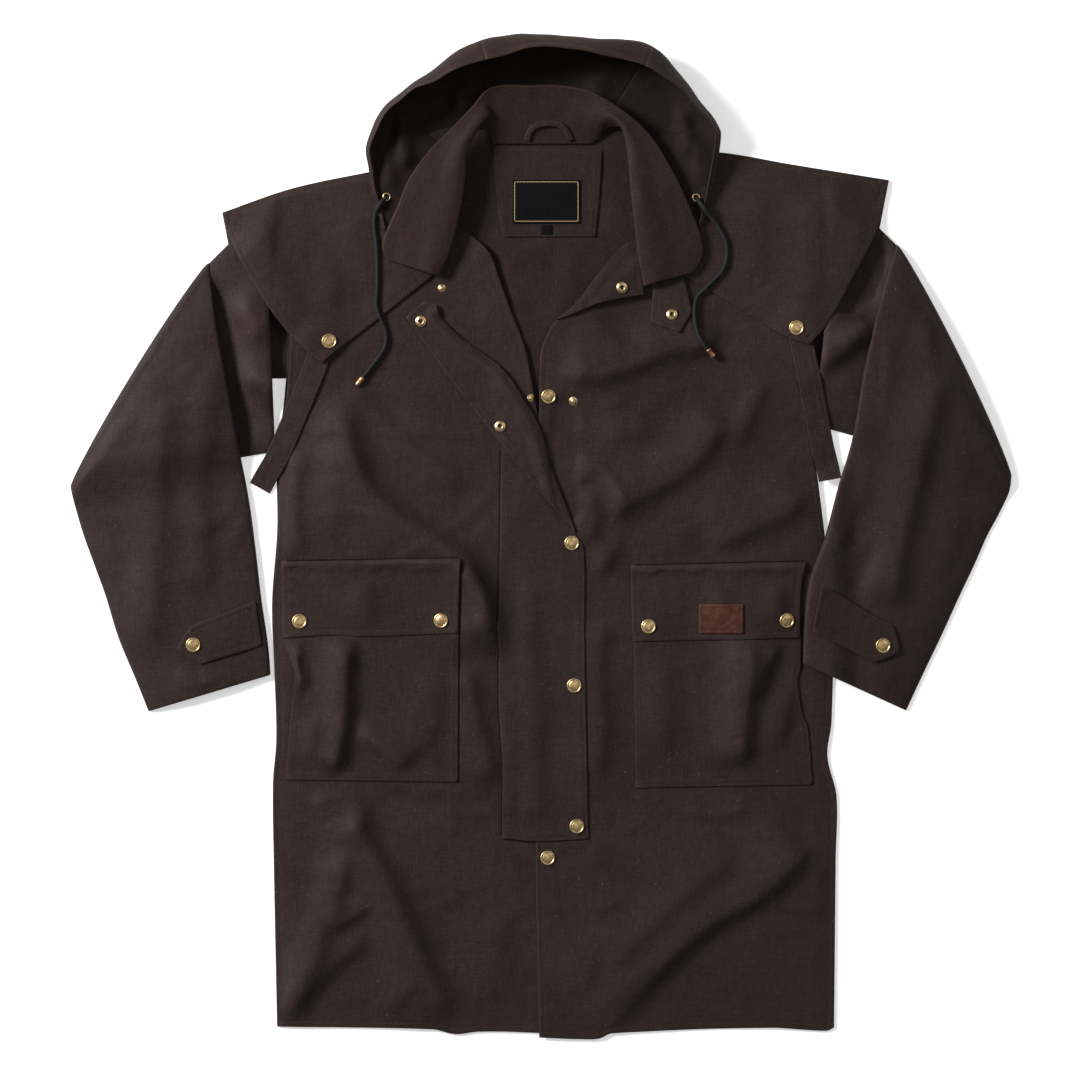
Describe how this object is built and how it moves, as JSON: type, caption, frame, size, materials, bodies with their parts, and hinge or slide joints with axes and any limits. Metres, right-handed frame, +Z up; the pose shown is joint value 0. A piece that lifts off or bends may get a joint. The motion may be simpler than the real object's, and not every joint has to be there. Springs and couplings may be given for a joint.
{
  "type": "oilskin coat",
  "caption": "Long oilskin riding coat laid flat, with shoulder cape, large collar, attached hood with a drawcord, storm flap, flapped pockets and brass snaps",
  "frame": {"origin": "centre of the coat's outline, on the surface that it lies on", "axes": "+X across the coat towards the wearer's left sleeve, +Y from the hem to the hood, +Z up from the surface"},
  "size_m": [1.1363, 1.2024, 0.06],
  "materials": {
    "oilskin": "dark brown oiled cotton with a slight waxy sheen",
    "cloth_inside": "inside of the dark brown oiled cotton, duller",
    "antique_brass": "antique brass, polished on the rims",
    "cord": "braided dark green-black cord",
    "leather": "reddish brown leather, worn at the edges",
    "label": "bare black woven tape"
  },
  "bodies": {
    "root": {"arm_strap_left": "oilskin", "arm_strap_right": "oilskin", "back_panel": "cloth_inside", "cape_back": "oilskin", "cape_left": "oilskin", "cape_right": "oilskin", "collar": "oilskin", "cord_left": "cord", "cord_right": "cord", "cord_tip_left": "antique_brass", "cord_tip_right": "antique_brass", "cuff_tab_left": "oilskin", "cuff_tab_right": "oilskin", "eyelet_left": "antique_brass", "eyelet_right": "antique_brass", "front_left": "oilskin", "front_right": "oilskin", "hanger_loop": "oilskin", "hood_crown": "oilskin", "hood_left": "oilskin", "hood_right": "oilskin", "leather_patch": "leather", "main_label": "label", "neck_facing": "cloth_inside", "pocket_flap_left": "oilskin", "pocket_flap_right": "oilskin", "pocket_left": "oilskin", "pocket_right": "oilskin", "size_tab": "label", "sleeve_left": "oilskin", "sleeve_right": "oilskin", "snap_cape_left": "antique_brass", "snap_cape_right": "antique_brass", "snap_cuff_left": "antique_brass", "snap_cuff_right": "antique_brass", "snap_front_lower": "antique_brass", "snap_front_upper": "antique_brass", "snap_pocket_left_inner": "antique_brass", "snap_pocket_left_outer": "antique_brass", "snap_pocket_right_inner": "antique_brass", "snap_pocket_right_outer": "antique_brass", "snap_storm_flap_1": "antique_brass", "snap_storm_flap_2": "antique_brass", "snap_storm_flap_3": "antique_brass", "socket_flap_lower": "antique_brass", "socket_flap_upper": "antique_brass", "socket_neck": "antique_brass", "socket_throat_tab": "antique_brass", "storm_flap": "oilskin", "stud_front_left": "antique_brass", "stud_front_right_lower": "antique_brass", "stud_front_right_upper": "antique_brass", "throat_tab": "oilskin"}
  },
  "joints": []
}
